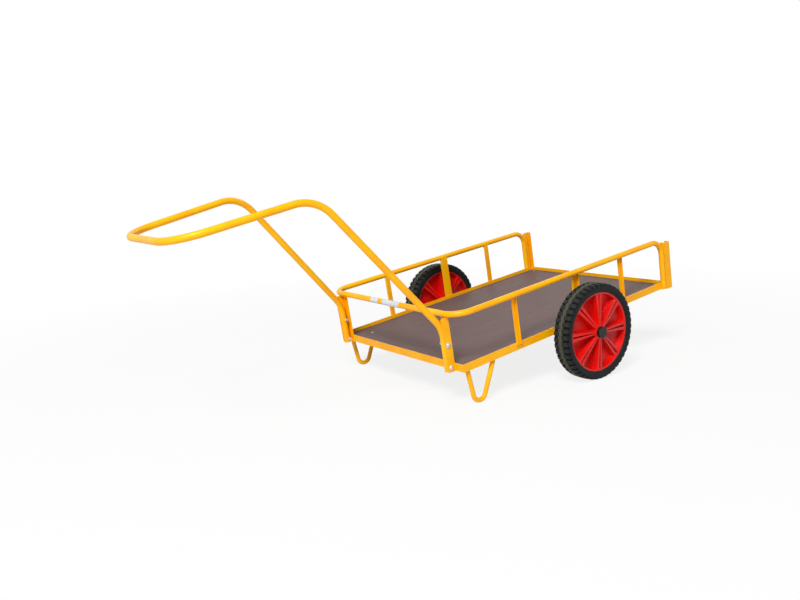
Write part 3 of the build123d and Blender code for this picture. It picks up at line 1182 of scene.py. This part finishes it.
def mixed_into(tree, factor, first, second, output):
    mixed = tree.nodes.new("ShaderNodeMixShader")
    end = tree.nodes.new(output)
    tree.links.new(factor.socket, mixed.inputs[0])
    tree.links.new(first.outputs[0], mixed.inputs[1])
    tree.links.new(second.outputs[0], mixed.inputs[2])
    tree.links.new(mixed.outputs[0], end.inputs[0])


WHITE = (1, 1, 1, 1)
print("helpers of the studio ready")

# %% [markdown]
# The floor is a large plane. Near the cart a sixth of what the eye meets is its paper, which
# darkens where the cart takes the light away. Further off the floor goes over into the
# white of the world, so that no horizon shows.

# %% Floor
FLOOR_SPAN = 60
PAPER = (0.8, 0.8, 0.8, 1)
WHITE_SHARE = 0.84
FADE_FROM, FADE_TO = 1.4, 3.4
floor = start("plane", size=FLOOR_SPAN)
pick(floor, lambda place, part: True)
bpy.ops.mesh.subdivide(number_cuts=3)
leave_edit()
settle(floor)
floor.name = "studio_floor"
floor_finish = bpy.data.materials.new("pale_floor")
floor_finish.use_nodes = True
tree = floor_finish.node_tree
tree.nodes.clear()
paper = tree.nodes.new("ShaderNodeBsdfDiffuse")
paper.inputs["Color"].default_value = PAPER
glow = shining(tree, WHITE, 1.0, "ShaderNodeEmission")
spot = tree.nodes.new("ShaderNodeTexCoord")
span = tree.nodes.new("ShaderNodeVectorMath")
span.operation = "LENGTH"
tree.links.new(spot.outputs["Object"], span.inputs[0])
far_off = between(Wire(tree, span.outputs["Value"]), FADE_FROM, FADE_TO)
seen = looked_at(tree) * (WHITE_SHARE + far_off * (1 - WHITE_SHARE))
mixed_into(tree, seen, paper, glow, "ShaderNodeOutputMaterial")
floor.data.materials.append(floor_finish)
print("floor", FLOOR_SPAN, "m wide")

# %% [markdown]
# The world lights the cart softly from all sides, so that no face turned away from the lamps
# goes black. The same white as on the floor takes its place for the eye.

# %% World
world = bpy.data.worlds.new("soft_studio")
bpy.context.scene.world = world
world.use_nodes = True
tree = world.node_tree
tree.nodes.clear()
soft = shining(tree, WHITE, 0.2)
white = shining(tree, WHITE, 1.0)
mixed_into(tree, looked_at(tree), soft, white, "ShaderNodeOutputWorld")
print("world ready")

# %% [markdown]
# One broad lamp, high in front, gives the tubes a clear light and shade side. It stands far
# off, so that it lights the handle and the deck alike. A weak one behind keeps the back
# readable.


# %% Lamps
CART_MIDDLE = Vector((0, 0, 0.3))


def lamp(name, place, size, power):
    light = bpy.data.lights.new(name, "AREA")
    light.shape = "SQUARE"
    light.size = size
    light.energy = power
    body = bpy.data.objects.new(name, light)
    bpy.context.collection.objects.link(body)
    body.location = place
    aim = CART_MIDDLE - Vector(place)
    body.rotation_euler = aim.to_track_quat("-Z", "Y").to_euler()


lamp("key_lamp", (6.0, 4.8, 8.2), 3.6, 1370)
lamp("back_lamp", (-3.2, -2.6, 3.4), 3.0, 25)
print("lamps ready")

# %% [markdown]
# ## Camera
# The photo's viewpoint was worked out from the straight edges of the cart: an ordinary lens
# about 3.2 m away, nearly a metre up, looking down a little from the front left. The two
# directions below are what the camera looks along and what points to the right for it.

# %% Camera at the photo's angle
SENSOR = 36
FOCAL_PIXELS, FRAME_PIXELS = 786.4, 800
EYE = (1.87587, 2.5489, 0.92460)
camera_data = bpy.data.cameras.new("photo_camera")
camera_data.sensor_width = SENSOR
camera_data.lens = FOCAL_PIXELS / FRAME_PIXELS * SENSOR
camera = bpy.data.objects.new("photo_camera", camera_data)
bpy.context.collection.objects.link(camera)
look = Vector((-0.56590, -0.80450, -0.18037)).normalized()
right = Vector((-0.81038, 0.58303, -0.05796)).normalized()
up = right.cross(look)
turned = Matrix((right, up, -look)).transposed().to_4x4()
camera.matrix_world = Matrix.Translation(EYE) @ turned
bpy.context.scene.camera = camera
bpy.context.scene.view_settings.view_transform = "Standard"
print("lens", round(camera_data.lens, 2))
